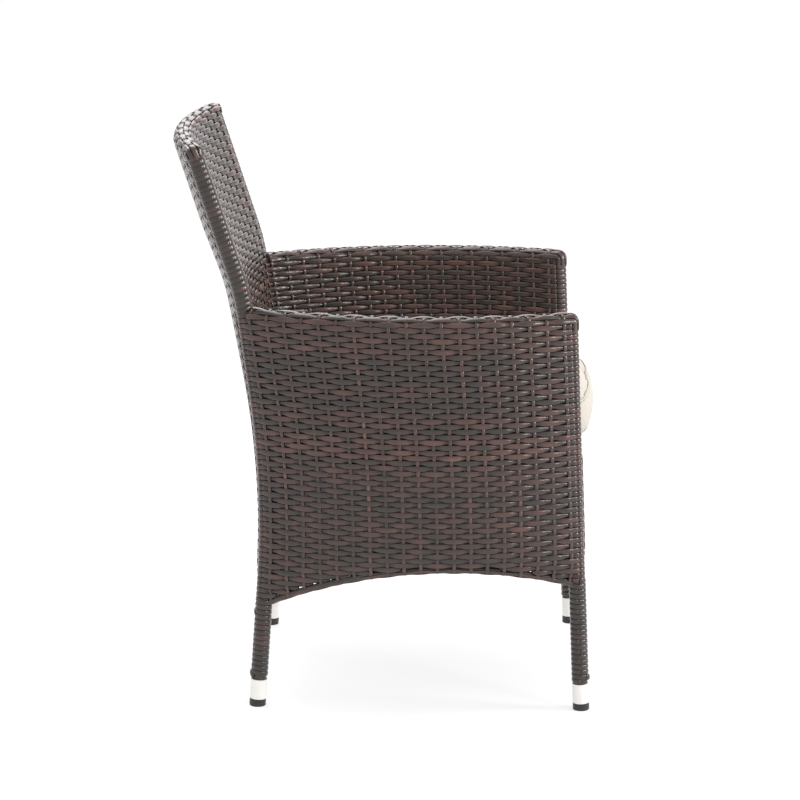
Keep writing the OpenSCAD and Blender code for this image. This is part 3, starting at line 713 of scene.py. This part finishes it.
# Side panels with their rounded arms -------------------------------------------------------------
def build_side(tag, flip):
    outer = Strands(f"{tag}_side_outer_strands")
    inner = Strands(f"{tag}_side_inner_strands")
    arm = Strands(f"{tag}_arm_strands")
    leg = Strands(f"{tag}_front_leg_strands")
    post = Strands(f"{tag}_post_strands")
    for j, z in enumerate(SIDE_Z):
        tone = new_tone()
        row_along(outer, side_mid, 1, z, -1 - j, SIDE_STAKES, tone, side_low, flip=flip)
        above = z > DECK_TOP + 0.002
        if above:
            row_along(inner, side_mid, -1, z, CAP_ROWS + j, SIDE_STAKES, tone, flip=flip)
        if z > side_low(1.0) + EDGE_CLEAR:
            turn = math.pi if above else math.pi * 1.15
            ends = (WRAP, WRAP) if above else (WRAP, 0.0100)
            round_tube(leg, side_mid, 1.0, z, 0, turn, tone, ends, flip=flip)
            round_tube(leg, side_mid, 1.0, z, math.pi, math.pi, tone, (WRAP - 0.0012,) * 2, flip=flip)
        if z > side_low(0.0) + EDGE_CLEAR:
            round_tube(post, side_mid, 0.0, z, 0, -math.pi, tone, flip=flip)
    # stakes: up the outer sheet from the lower edge, over the arm, down the inner sheet
    for k in range(SIDE_STAKES):
        s = (k + 0.5) / SIDE_STAKES
        low = float(side_low(np.array([s]))[0])
        tone = new_tone(STAKE_WARM)
        up = rising(low, ARM_Z, ARM_Z)
        down = np.linspace(ARM_Z, DECK_TOP + 0.001, 90)
        segments = [
            *stake_foot(outer, side_mid, s, low),
            on_sheet(outer, side_mid, s, up, 1, rho_of(up, SIDE_Z, -1, -1), out_from_rod(up, low)),
            over_cap(arm, side_mid, s, ARM_Z, 1),
            on_sheet(inner, side_mid, s, down, -1, rho_of(down, SIDE_Z, CAP_ROWS, 1)),
        ]
        stake(segments, k, tone, flip)
    # lengthwise strands over the arm, running on over the front corner
    for i in range(CAP_ROWS):
        theta = (i + 0.5) / CAP_ROWS * math.pi
        q = np.linspace(0.018, 1, SIDE_STAKES * SAMPLES + 1)
        off, width = row_shape(q, SIDE_STAKES, i, np.full(len(q), SKIN))
        end = smooth((1 - q) * SIDE_STAKES / 0.6)
        off = lerp(SKIN + CAP_LIFT, off, end)
        width = lerp(CAP_W, width, end)
        th = np.full(len(q), theta)
        p, d, a, b = cap_path(side_mid, q, np.full(len(q), ARM_Z), th, off, 1)
        n = axes(side_mid, np.array([1.0]), ARM_Z)[2][0]
        a1, b1 = a[-1], b[-1]
        psi = np.linspace(0, math.pi / 2, 8)[1:]
        up = np.outer(np.cos(psi), b1) + np.outer(np.sin(psi), a1)
        d_turn = n * math.cos(theta) + up * math.sin(theta)
        corner = side_mid(np.array([1.0]), ARM_Z)[0]
        p_turn = corner + d_turn * (SKIN + CAP_LIFT)
        drop = np.linspace(0, 0.019 + 0.004 * (i % 2), 6)[1:]
        foot = side_mid(np.ones(5), ARM_Z - drop)
        r = lerp(SKIN + CAP_LIFT, TUCKED_R, smooth((drop - 0.008) / 0.012))
        p_down = foot + d_turn[-1] * r[:, None]
        pp = np.concatenate([p, p_turn, p_down])
        dd = np.concatenate([d, d_turn, np.tile(d_turn[-1], (5, 1))])
        ww = np.concatenate([width, np.full(7, 0.0070), np.full(5, 0.0064)])
        arm.add(pp, dd, ww, WEAVER_T, new_tone(CAP_WARM), flip=flip)
    bind_edge(outer, side_mid, side_low, SIDE_STAKES, flip=flip)
    return outer, inner, arm, leg, post


def wind(piece, centre, z0, z1, tone_of, radius=WRAP, pitch=PITCH, flip=False, start=0.0):
    """Strand wound round a leg from z0 up to z1. Every turn is its own tone, end to end."""
    turns = (z1 - z0) / pitch
    per = 20
    n = int(turns * per) + 1
    z = np.linspace(z0, z1, n)
    angle = start + np.linspace(0, turns * 2 * math.pi, n)
    c = centre(z)
    t = unit(centre(z + 1e-3) - centre(z - 1e-3))
    ex = unit(np.cross(np.tile([0.0, 1.0, 0.0], (n, 1)), t))
    ey = np.cross(t, ex)
    d = ex * np.cos(angle)[:, None] + ey * np.sin(angle)[:, None]
    p = c + d * radius
    step = per * 2
    for a in range(0, n - 1, step):
        b = min(a + step + 1, n)
        piece.add(p[a:b], d[a:b], 0.0079, 0.0023, tone_of(), flip=flip)


def leg_line(z):
    z = np.asarray(z, float)
    return np.stack([leg_x(z), leg_y(z), z], -1)


def post_line(z):
    z = np.asarray(z, float)
    return np.stack([POST_X + 0 * z, post_y(z), z], -1)


def end_bump(piece, centre, z, facing, flip, size=0.0019):
    """Loose end of a strand: a short wrap standing proud of the winding."""
    angle = facing + np.linspace(-0.85, 0.85, 11)
    proud = WRAP - 0.0004 + size * np.cos(np.linspace(-1.45, 1.45, 11)) ** 0.7
    d = np.stack([np.cos(angle), np.sin(angle), 0 * angle], -1)
    p = centre(np.full(11, z)) + d * proud[:, None]
    p[:, 2] += np.linspace(-0.0025, 0.0025, 11)
    piece.add(p, d, 0.0088, 0.0030, 0.15, flip=flip)


knots = Strands("strand_end_knots")
for tag, flip in (("left", False), ("right", True)):
    outer, inner, arm, leg, post = build_side(tag, flip)
    rear_leg = Strands(f"{tag}_rear_leg_strands")
    wind(leg, leg_line, 0.0470, float(side_low(1.0)) + 0.012, binding_tone, flip=flip)
    wind(rear_leg, post_line, 0.0470, float(side_low(0.0)) + 0.016, binding_tone, flip=flip, start=1.0)
    end_bump(knots, leg_line, 0.0520, -math.pi / 2, flip)
    end_bump(knots, post_line, 0.0520, math.pi / 2, flip)
    end_bump(knots, post_line, float(side_low(0.0)) - 0.006, math.pi * 0.62, flip, 0.0018)
    # above the arm the back's rows go round the post; below it the side's rows do
    for z in UPPER_Z:
        round_tube(post, back_mid, 0.0, z, math.pi, math.pi, binding_tone(), width=0.0083, flip=flip)
    outer.build(f"{tag}_side_weave_outer")
    inner.build(f"{tag}_side_weave_inner")
    arm.build(f"{tag}_arm_wrap", f"{tag}_arm_corner_wrap")
    leg.build(f"{tag}_front_corner_wrap", f"{tag}_front_leg_wrap")
    post.build(f"{tag}_back_post_wrap")
    rear_leg.build(f"{tag}_rear_leg_wrap")
knots.build("strand_end_collars")

# Back ------------------------------------------------------------------------------------------
back_front = Strands("back_front_strands")
back_rear = Strands("back_rear_strands")
back_top = Strands("back_top_strands")
for j, z in enumerate(BACK_Z):
    tone = new_tone()
    modes = ("wrap", "wrap") if j < UPPER else ("tuck", "tuck")
    row_along(back_rear, back_mid, -1, z, -1 - j, BACK_STAKES, tone, None, modes)
    row_along(back_front, back_mid, 1, z, CAP_ROWS + j, BACK_STAKES, tone, None, modes)
rear_apron = Strands("rear_apron_strands")
for j, z in enumerate(SIDE_Z):
    if z <= DECK_TOP - 0.002:
        row_along(
            rear_apron, back_mid, -1, z, -1 - UPPER - j, BACK_STAKES, new_tone(), rear_low,
            ("tuck", "tuck"),
        )
all_z = BACK_Z[:UPPER] + SIDE_Z
for k in range(BACK_STAKES):
    s = (k + 0.5) / BACK_STAKES
    tone = new_tone(STAKE_WARM)
    low = float(rear_low(np.array([s]))[0])
    up = rising(low, DECK_TOP - 0.004, DECK_TOP)
    on = np.linspace(DECK_TOP - 0.004, TOP_Z, 190)[1:]
    down = np.linspace(TOP_Z, DECK_TOP + 0.001, 190)
    base = out_from_rod(up, low)
    segments = [
        *stake_foot(rear_apron, back_mid, s, low, -1),
        on_sheet(rear_apron, back_mid, s, up, -1, rho_of(up, all_z, -1, -1), base),
        on_sheet(back_rear, back_mid, s, on, -1, rho_of(on, all_z, -1, -1)),
        over_cap(back_top, back_mid, s, TOP_Z, -1),
        on_sheet(back_front, back_mid, s, down, 1, rho_of(down, all_z, CAP_ROWS, 1)),
    ]
    stake(segments, k, tone)
bind_edge(rear_apron, back_mid, rear_low, BACK_STAKES, -1)
for i in range(CAP_ROWS):
    theta = (i + 0.5) / CAP_ROWS * math.pi
    q = np.linspace(0, 1, BACK_STAKES * SAMPLES + 1)
    off, width = row_shape(q, BACK_STAKES, i, np.full(len(q), SKIN))
    end = smooth(np.minimum(q, 1 - q) * BACK_STAKES / 0.6)
    off = lerp(SKIN + CAP_LIFT, off, end)
    width = lerp(CAP_W, width, end)
    level = np.full(len(q), TOP_Z)
    p, d, a, b = cap_path(back_mid, q, level, np.full(len(q), theta), off, -1)
    heads = []
    for end, sign in ((0, -1.0), (-1, 1.0)):
        n = -axes(back_mid, np.array([q[end]]), TOP_Z)[2][0]
        psi = np.linspace(0, math.pi / 2, 8)[1:]
        up = np.outer(np.cos(psi), b[end]) + np.outer(np.sin(psi), a[end] * sign)
        d_turn = n * math.cos(theta) + up * math.sin(theta)
        drop = np.linspace(0, 0.010 + 0.002 * (i % 2), 6)[1:]
        r = lerp(SKIN + CAP_LIFT, TUCKED_R, smooth((drop - 0.002) / 0.008))
        foot = back_mid(np.full(5, q[end]), TOP_Z - drop)
        square = 1 / np.maximum(np.cos(psi), np.sin(psi)) ** 0.8
        reach = (SKIN + CAP_LIFT) * lerp(1.0, square, math.sin(theta))
        pts = np.concatenate(
            [back_mid(np.array([q[end]]), TOP_Z)[0] + d_turn * reach[:, None],
             foot + d_turn[-1] * r[:, None]]
        )
        dirs = np.concatenate([d_turn, np.tile(d_turn[-1], (5, 1))])
        heads.append((pts, dirs))
    pp = np.concatenate([heads[0][0][::-1], p, heads[1][0]])
    dd = np.concatenate([heads[0][1][::-1], d, heads[1][1]])
    ww = np.concatenate([np.full(12, 0.0068), width, np.full(12, 0.0068)])
    back_top.add(pp, dd, ww, WEAVER_T, new_tone(CAP_WARM))
back_front.build("back_weave_front")
back_rear.build("back_weave_rear")
back_top.build("back_top_wrap", "left_back_corner_wrap", "right_back_corner_wrap")
rear_apron.build("rear_apron_weave")

# Front apron and seat deck ---------------------------------------------------------------------
DECK_Z = 0.4066
EDGE_ROWS = 3
EDGE_R = WRAP + 0.0004  # middle of the strands over the seat's front edge
front_y = float(leg_y(SEAT_Z))


def deck_mid(s, depth):
    """Seat deck: s across, depth from the front rail (0) to the rear rail (1)."""
    y_mid = lerp(front_y, float(post_y(SEAT_Z)), depth)
    half = side_x(y_mid, SEAT_Z) - 0.005
    x = lerp(half, -half, s)
    rear = back_y(np.clip(x, -POST_X, POST_X), SEAT_Z)
    y = lerp(front_y, rear, depth)
    return np.stack([x, y, DECK_Z + 0 * x + 0 * y], -1)


front_apron = Strands("front_apron_strands")
deck = Strands("seat_deck_strands")
FRONT_Z = row_heights(SEAT_Z, FRONT_LOW)
for j, z in enumerate(FRONT_Z):
    row_along(
        front_apron, front_mid, 1, z, -1 - j, FRONT_STAKES, new_tone(), front_low, ("tuck", "tuck")
    )
for i in range(EDGE_ROWS):
    angle = (i + 0.5) / EDGE_ROWS * math.pi / 2
    q = np.linspace(0.012, 0.988, FRONT_STAKES * SAMPLES + 1)
    off, width = row_shape(q, FRONT_STAKES, i, np.full(len(q), EDGE_R))
    d = np.tile([0, -math.cos(angle), math.sin(angle)], (len(q), 1))
    front_apron.add(
        front_mid(q, SEAT_Z) + d * (off * 0.97)[:, None], d, width * 0.86, 0.0017, new_tone()
    )
depth_total = float(back_y(0.0, SEAT_Z)) - front_y
DECK_ROWS = int(depth_total / PITCH)
for j in range(DECK_ROWS):
    depth = (j + 0.5) / DECK_ROWS
    q = np.linspace(0, 1, FRONT_STAKES * 4 + 1)
    c = np.cos(np.pi * (q * FRONT_STAKES - 0.5 + EDGE_ROWS + j))
    p = deck_mid(q, np.full(len(q), depth))
    p[:, 2] += 0.0008 * swell(c)
    width = 0.0050 + 0.0030 * ((1 + c) / 2) ** 0.55
    deck.add(p, np.tile([0.0, 0.0, 1.0], (len(q), 1)), width, DECK_T, new_tone(), full=SKIRT_W)
for k in range(FRONT_STAKES):
    s = (k + 0.5) / FRONT_STAKES
    tone = new_tone(STAKE_WARM)
    low = float(front_low(np.array([s]))[0])
    up = rising(low, SEAT_Z, SEAT_Z)
    base = out_from_rod(up, low, skin=EDGE_R)
    angle = np.linspace(0, math.pi / 2, 12)[1:]
    over_edge = (
        front_apron,
        np.tile(front_mid(np.array([s]), SEAT_Z)[0], (11, 1)),
        np.stack([0 * angle, -np.cos(angle), np.sin(angle)], -1),
        angle / (math.pi / 2) * EDGE_ROWS - 0.5,
        np.full(11, WRAP),
    )
    segments = [
        *stake_foot(front_apron, front_mid, s, low),
        on_sheet(front_apron, front_mid, s, up, 1, rho_of(up, FRONT_Z, -1, -1), base),
        over_edge,
    ]
    stake(segments, k, tone)
    v = np.linspace(0, 1, DECK_ROWS * 3)
    p = deck_mid(np.full(len(v), s), v)
    p[:, 2] -= 0.0006 * swell(np.cos(np.pi * (k + EDGE_ROWS + v * DECK_ROWS - 0.5)))
    deck.add(p, np.tile([0.0, 0.0, 1.0], (len(v), 1)), STAKE_W, DECK_T, tone)
bind_edge(front_apron, front_mid, front_low, FRONT_STAKES)
front_apron.build("front_apron_weave", "front_edge_wrap")
deck.build("seat_deck_weave")

# Cushion ---------------------------------------------------------------------------------------
CUSHION_LOW, CUSHION_HIGH = 0.4098, 0.4765  # in the middle of the seat
EDGE_LOW, EDGE_HIGH = 0.4260, 0.4740  # at the seams
RIM = 120
SEAM_PROUD = 0.0010  # how far the cord's middle stands off the cover
SEAM_IN = 0.965  # seams, as a share of the outline; the border swells out between them
CORD_W, CORD_T = 0.0032, 0.0030
STUFFED = 1.008  # outline of the filled cover, as a share of the cut one
VOXEL = 0.0055
PRESSURE, SETTLE = 4, 20  # the cloth's inner pressure and the frames it is given
SWELL_ASIDE, SWELL_UP = 0.003, 0.008  # the most that the pressure may move a point


def rim_points():
    """Rounded square of half-size 1, corner radius 0.3, as RIM points in order."""
    corner, flat = 0.3, 1.4
    quarter = flat + corner * math.pi / 2
    out = []
    for i in range(RIM):
        run = i / RIM * 4 * quarter
        side, run = int(run // quarter), run % quarter
        if run < flat:
            x, y = -0.7 + run, -1.0
        else:
            a = (run - flat) / corner
            x, y = 0.7 + corner * math.sin(a), -0.7 - corner * math.cos(a)
        for _ in range(side):
            x, y = -y, x
        out.append((x, y))
    return np.array(out)


def cushion_plan(px, py):
    """Place on the seat for a point of the unit square: widest ahead of the middle, bowed in front."""
    half = 0.212 + 0.030 * (1 - (py + 0.05) ** 2) - 0.017 * py - 0.015 * np.maximum(py, 0) * py
    front = -0.3251 + 0.024 * px**2
    rear = 0.171 - 0.006 * px**2
    return px * half, lerp(front, rear, (py + 1) / 2)


def cushion_mesh(scale, low, high):
    """Pillow between two seams: crowned on top, curved up under its edge, swollen at the border."""
    rim = rim_points()
    rings = []
    shares = (0.15, 0.35, 0.55, 0.75, 0.9, SEAM_IN)
    for f in shares:
        rings.append((f, lerp(high, EDGE_HIGH, (f / SEAM_IN) ** 4)))
    for t in (0.1, 0.22, 0.36, 0.5, 0.64, 0.78, 0.9):
        bulge = math.sin(math.pi * t) ** 0.6
        rings.append((lerp(SEAM_IN, 1.0, bulge), lerp(EDGE_HIGH, EDGE_LOW, t)))
    for f in reversed(shares):
        rings.append((f, lerp(low, EDGE_LOW, (f / SEAM_IN) ** 6)))
    verts = []
    for f, z in rings:
        x, y = cushion_plan(rim[:, 0] * f * scale, rim[:, 1] * f * scale)
        verts += [(float(a), float(b), z) for a, b in zip(x, y)]
    x, y = cushion_plan(np.array([0.0]), np.array([0.0]))
    verts += [(float(x[0]), float(y[0]), high), (float(x[0]), float(y[0]), low)]
    faces = []
    for r in range(len(rings) - 1):
        for i in range(RIM):
            j = (i + 1) % RIM
            faces.append((r * RIM + i, (r + 1) * RIM + i, (r + 1) * RIM + j, r * RIM + j))
    top, bottom, last = len(verts) - 2, len(verts) - 1, (len(rings) - 1) * RIM
    for i in range(RIM):
        j = (i + 1) % RIM
        faces.append((top, i, j))
        faces.append((bottom, last + j, last + i))
    mesh = bpy.data.meshes.new("seat_cushion")
    mesh.from_pydata(verts, [], faces)
    mesh.update()
    return mesh


def make_cushion():
    """Cushion cover blown up a little as cloth, with how far it may swell held in bounds."""
    mesh = cushion_mesh(STUFFED, CUSHION_LOW + 0.001, CUSHION_HIGH)
    obj = bpy.data.objects.new("seat_cushion", mesh)
    bpy.context.collection.objects.link(obj)
    bpy.context.view_layer.objects.active = obj
    remesh = obj.modifiers.new("even", "REMESH")
    remesh.mode = "VOXEL"
    remesh.voxel_size = VOXEL
    dg = bpy.context.evaluated_depsgraph_get()
    even = bpy.data.meshes.new_from_object(obj.evaluated_get(dg))
    obj.modifiers.clear()
    obj.data = even
    start = np.empty(len(even.vertices) * 3, np.float32)
    even.vertices.foreach_get("co", start)
    start = start.reshape(-1, 3)
    cloth = obj.modifiers.new("cloth", "CLOTH")
    cloth.settings.effector_weights.gravity = 0
    cloth.settings.use_pressure = True
    cloth.settings.uniform_pressure_force = PRESSURE
    cloth.settings.quality = 4
    cloth.point_cache.frame_start = 1
    cloth.point_cache.frame_end = SETTLE
    scene = bpy.context.scene
    for f in range(1, SETTLE + 1):
        scene.frame_set(f)
    dg = bpy.context.evaluated_depsgraph_get()
    swollen = bpy.data.meshes.new_from_object(obj.evaluated_get(dg))
    obj.modifiers.clear()
    obj.data = swollen
    scene.frame_set(1)
    co = np.empty(len(obj.data.vertices) * 3, np.float32)
    obj.data.vertices.foreach_get("co", co)
    co = co.reshape(-1, 3)
    move = co - start
    aside = np.linalg.norm(move[:, :2], axis=1, keepdims=True)
    move[:, :2] *= np.minimum(1, SWELL_ASIDE / np.maximum(aside, 1e-9))
    move[:, 2] = np.clip(move[:, 2], -SWELL_UP, SWELL_UP)
    co = start + move
    co[:, 2] = np.maximum(co[:, 2], CUSHION_LOW)
    obj.data.vertices.foreach_set("co", co.astype(np.float32).ravel())
    obj.data.update()
    obj.data.polygons.foreach_set("use_smooth", [True] * len(obj.data.polygons))
    sub = obj.modifiers.new("round", "SUBSURF")
    sub.levels = sub.render_levels = 1
    obj.data.materials.clear()
    obj.data.materials.append(fabric_material)
    return obj


cushion = make_cushion()
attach(cushion, "cushion")
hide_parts("cushion_top_panel", "cushion_bottom_panel", "cushion_border", "cushion_foam")


def cushion_seam(name, level, angle):
    """Corded seam round the cushion, laid on the swollen surface."""
    tree = BVHTree.FromObject(cushion, bpy.context.evaluated_depsgraph_get())
    rim = rim_points()
    x, y = cushion_plan(rim[:, 0] * SEAM_IN, rim[:, 1] * SEAM_IN)

    def on_surface(point, d):
        hit = tree.ray_cast(Vector(point) + d * 0.05, -d, 0.1)[0]
        return np.array(hit if hit is not None else point)

    pts, outs = [], []
    for i in range(RIM):
        j, h = (i + 1) % RIM, (i - 1) % RIM
        t = Vector((float(x[j] - x[h]), float(y[j] - y[h]), 0)).normalized()
        d = Vector((t.y * math.cos(angle), -t.x * math.cos(angle), math.sin(angle)))
        pts.append(on_surface((float(x[i]), float(y[i]), level), d))
        outs.append(d)
    pts = np.array(pts)
    for _ in range(3):
        pts = (np.roll(pts, 1, 0) + pts * 2 + np.roll(pts, -1, 0)) / 4
    pts = np.array([on_surface(point, d) for point, d in zip(pts, outs)])
    pts += np.array(outs) * SEAM_PROUD
    seam = Strands(name)
    seam.add(pts, np.array(outs), CORD_W, CORD_T, 0.5, closed=True)
    cord = seam.build(body="cushion")
    cord.data.materials.clear()
    cord.data.materials.append(piping_material)
    cord.modifiers.new("round", "SUBSURF").levels = 1


cushion_seam("cushion_upper_seam", EDGE_HIGH, math.radians(50))
cushion_seam("cushion_lower_seam", EDGE_LOW, math.radians(-50))

# Stage -----------------------------------------------------------------------------------------
floor_mesh = bpy.data.meshes.new("floor")
floor_mesh.from_pydata([(-9, -9, 0), (9, -9, 0), (9, 9, 0), (-9, 9, 0)], [], [(0, 1, 2, 3)])
floor = bpy.data.objects.new("floor", floor_mesh)
bpy.context.collection.objects.link(floor)
floor_material, _, floor_bsdf = principled("pale_floor", Roughness=0.9)
floor_bsdf.inputs["Base Color"].default_value = (0.36, 0.36, 0.36, 1)
floor_bsdf.inputs["Emission Color"].default_value = (1, 1, 1, 1)
floor_bsdf.inputs["Emission Strength"].default_value = 0.66
floor_bsdf.inputs["Specular IOR Level"].default_value = 0.1
floor_mesh.materials.append(floor_material)

world = bpy.data.worlds.new("studio")
bpy.context.scene.world = world
world.use_nodes = True
world.node_tree.nodes["Background"].inputs["Color"].default_value = (1, 1, 1, 1)
world.node_tree.nodes["Background"].inputs["Strength"].default_value = 1.0
bpy.context.scene.view_settings.view_transform = "Standard"


def area(name, place, target, size, power):
    """Rectangular light of so many watts at a place, turned to a target."""
    light = bpy.data.lights.new(name, "AREA")
    light.shape = "RECTANGLE"
    light.size, light.size_y = size
    light.energy = power
    obj = bpy.data.objects.new(name, light)
    bpy.context.collection.objects.link(obj)
    obj.location = place
    obj.rotation_euler = (Vector(target) - Vector(place)).to_track_quat("-Z", "Y").to_euler()


area("key_light", (-0.5, -3.3, 1.5), (0, 0, 0.42), (0.9, 1.3), 72)
area("side_light", (-2.5, -3.1, 1.5), (0, 0, 0.45), (0.8, 1.0), 40)
area("top_light", (0.6, 0.4, 3.0), (0, 0, 0.4), (1.6, 1.6), 30)
area("rear_light", (2.6, 0.3, 2.3), (0, 0, 0.5), (3.0, 1.4), 36)

# the camera that fits the leg, arm and back corners of the photo
CAMERA_PLACE, CAMERA_AIM = (-5.1595, -0.0805, 1.6517), (0.9731, 0.0112, -0.2300)
camera_data = bpy.data.cameras.new("camera")
camera = bpy.data.objects.new("camera", camera_data)
bpy.context.collection.objects.link(camera)
camera.location = CAMERA_PLACE
camera.rotation_euler = Vector(CAMERA_AIM).to_track_quat("-Z", "Y").to_euler()
camera_data.lens = 151.8
camera_data.clip_end = 60
bpy.context.scene.camera = camera
